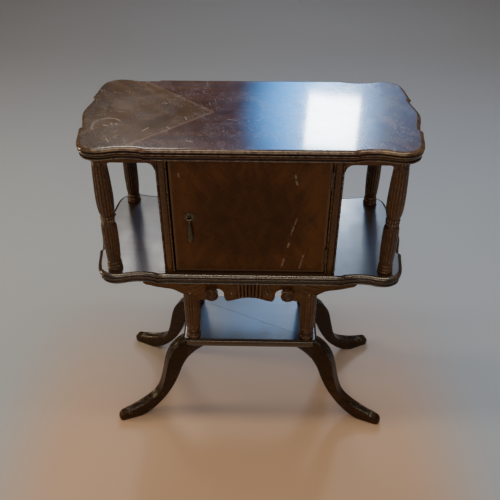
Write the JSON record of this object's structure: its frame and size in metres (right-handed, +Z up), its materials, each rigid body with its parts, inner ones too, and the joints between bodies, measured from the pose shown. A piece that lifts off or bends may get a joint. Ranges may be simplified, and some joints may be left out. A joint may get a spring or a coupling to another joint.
{
  "type": "sewing table",
  "caption": "Small sewing table with a moulded top over a cupboard and open gallery, a shelf, a low tray and splayed sabre legs.",
  "frame": {"origin": "on the floor under the middle of the table", "axes": "+X along the long side, -Y is the door side, +Z up"},
  "size_m": [0.624, 0.2922, 0.735],
  "materials": {
    "mahogany_polished": "dark polished mahogany with line inlay on the top, scratched gloss",
    "mahogany_carved": "turned, reeded and carved, dark gloss worn lighter on the high spots",
    "flame_veneer": "polished flame veneer",
    "diamond_veneer": "polished dark veneer",
    "panel_veneer": "polished straight-grained veneer",
    "plain_wood": "unpolished secondary wood",
    "aged_brass": "dull aged brass",
    "steel": "dull steel"
  },
  "bodies": {
    "table": {"top_board": "mahogany_polished", "shelf_board": "mahogany_polished", "tray_board": "mahogany_polished", "stile_front_left": "mahogany_carved", "stile_front_right": "mahogany_carved", "stile_back_left": "mahogany_carved", "stile_back_right": "mahogany_carved", "side_panel_left": "panel_veneer", "side_panel_right": "panel_veneer", "back_panel": "panel_veneer", "door_stop": "plain_wood", "glue_blocks": "plain_wood", "block_screws": "steel", "hinge_upper_frame_leaf": "aged_brass", "hinge_upper_pin": "aged_brass", "hinge_lower_frame_leaf": "aged_brass", "hinge_lower_pin": "aged_brass", "hinge_screws_frame": "steel", "catch_strike": "aged_brass", "gallery_column_front_left": "mahogany_carved", "gallery_column_front_right": "mahogany_carved", "gallery_column_back_left": "mahogany_carved", "gallery_column_back_right": "mahogany_carved", "gallery_rail_front_left": "mahogany_carved", "gallery_rail_front_right": "mahogany_carved", "gallery_rail_back_left": "mahogany_carved", "gallery_rail_back_right": "mahogany_carved", "gallery_rail_end_left": "mahogany_carved", "gallery_rail_end_right": "mahogany_carved", "pedestal_column_front_left": "mahogany_carved", "pedestal_column_front_right": "mahogany_carved", "pedestal_column_back_left": "mahogany_carved", "pedestal_column_back_right": "mahogany_carved", "frieze_front": "mahogany_carved", "frieze_back": "mahogany_carved", "frieze_end_left": "mahogany_carved", "frieze_end_right": "mahogany_carved", "fan_carving_front": "mahogany_carved", "fan_carving_back": "mahogany_carved", "volutes_front": "mahogany_carved", "volutes_back": "mahogany_carved", "leg_front_left": "mahogany_carved", "leg_front_right": "mahogany_carved", "leg_back_left": "mahogany_carved", "leg_back_right": "mahogany_carved", "leg_dowels": "plain_wood"},
    "door": {"door_core": "plain_wood", "door_veneer_corners": "flame_veneer", "door_veneer_diamond": "diamond_veneer", "hinge_upper_door_leaf": "aged_brass", "hinge_lower_door_leaf": "aged_brass", "hinge_screws_door": "steel", "pull_rosette": "aged_brass", "pull_post": "aged_brass", "pull_pin": "aged_brass", "catch_barrel": "aged_brass", "catch_spring": "steel"},
    "drop": {"pull_drop": "aged_brass"},
    "ball": {"catch_ball": "steel"}
  },
  "joints": [
    {"name": "door_swing", "type": "hinge", "parent": "table", "child": "door", "pos_m": [0.1442, -0.1305, 0.585], "axis": [0, 0, 1], "range_deg": [0, 160]},
    {"name": "drop_swing", "type": "hinge", "parent": "door", "child": "drop", "pos_m": [-0.11, -0.136, 0.586], "axis": [-1, 0, 0], "range_deg": [0, 80]},
    {"name": "catch_press", "type": "slide", "parent": "door", "child": "ball", "axis": [1, 0, 0], "range_m": [0, 0.001], "stiffness_N_per_m": 300, "springref_m": -0.002, "deforming": ["catch_spring"]}
  ]
}
